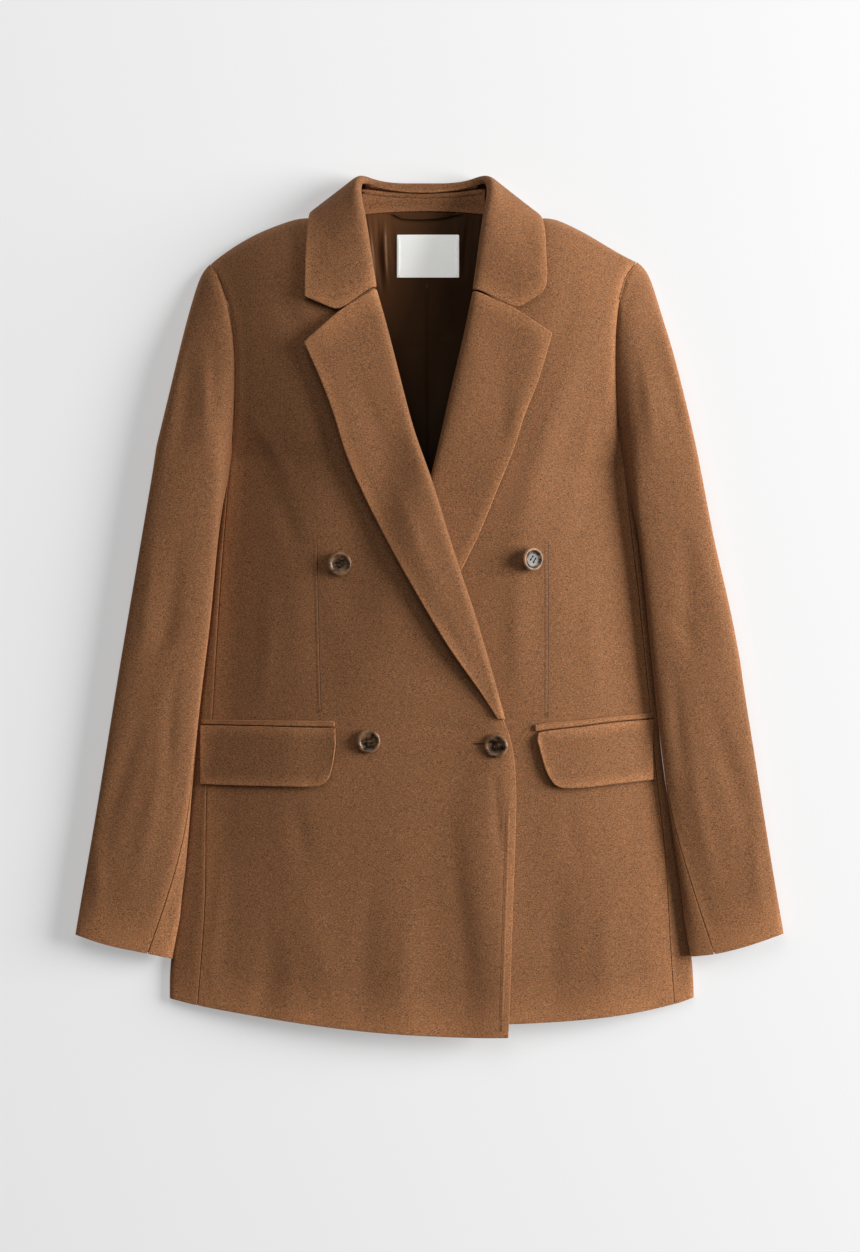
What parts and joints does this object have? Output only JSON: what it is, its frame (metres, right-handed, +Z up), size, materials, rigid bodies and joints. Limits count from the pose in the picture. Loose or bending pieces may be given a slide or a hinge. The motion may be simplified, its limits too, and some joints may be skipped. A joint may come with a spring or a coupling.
{
  "type": "double breasted blazer",
  "caption": "Tailored double breasted jacket laid flat on its back, fastened, with peaked lapels, turned-down collar, flap pockets and long sleeves.",
  "frame": {"origin": "middle of the garment's outline, on the surface that it lies on", "axes": "+X towards the wearer's left side, +Y from the hem to the collar, +Z up out of the front"},
  "size_m": [0.6364, 0.7739, 0.0571],
  "materials": {
    "body_cloth": "fine wool-like weave, matte, warm mid brown",
    "turned_cloth": "the same cloth turned on itself, pressed edges",
    "satin": "smooth satin, soft sheen, dark brown",
    "label_cloth": "plain white woven tape, matte, blank",
    "horn": "polished, mottled dark horn look"
  },
  "bodies": {
    "root": {"back_right": "body_cloth", "side_panel_right": "body_cloth", "front_right": "body_cloth", "top_sleeve_right": "body_cloth", "under_sleeve_right": "body_cloth", "lapel_right": "turned_cloth", "welt_right": "turned_cloth", "flap_right": "turned_cloth", "back_left": "body_cloth", "side_panel_left": "body_cloth", "front_left": "body_cloth", "top_sleeve_left": "body_cloth", "under_sleeve_left": "body_cloth", "lapel_left": "turned_cloth", "welt_left": "turned_cloth", "flap_left": "turned_cloth", "collar": "turned_cloth", "back_neck_facing": "turned_cloth", "lining": "satin", "hanger_loop": "satin", "label": "label_cloth", "button_right_upper": "horn", "button_right_lower": "horn", "button_left_upper": "horn", "button_fastened": "horn"}
  },
  "joints": []
}
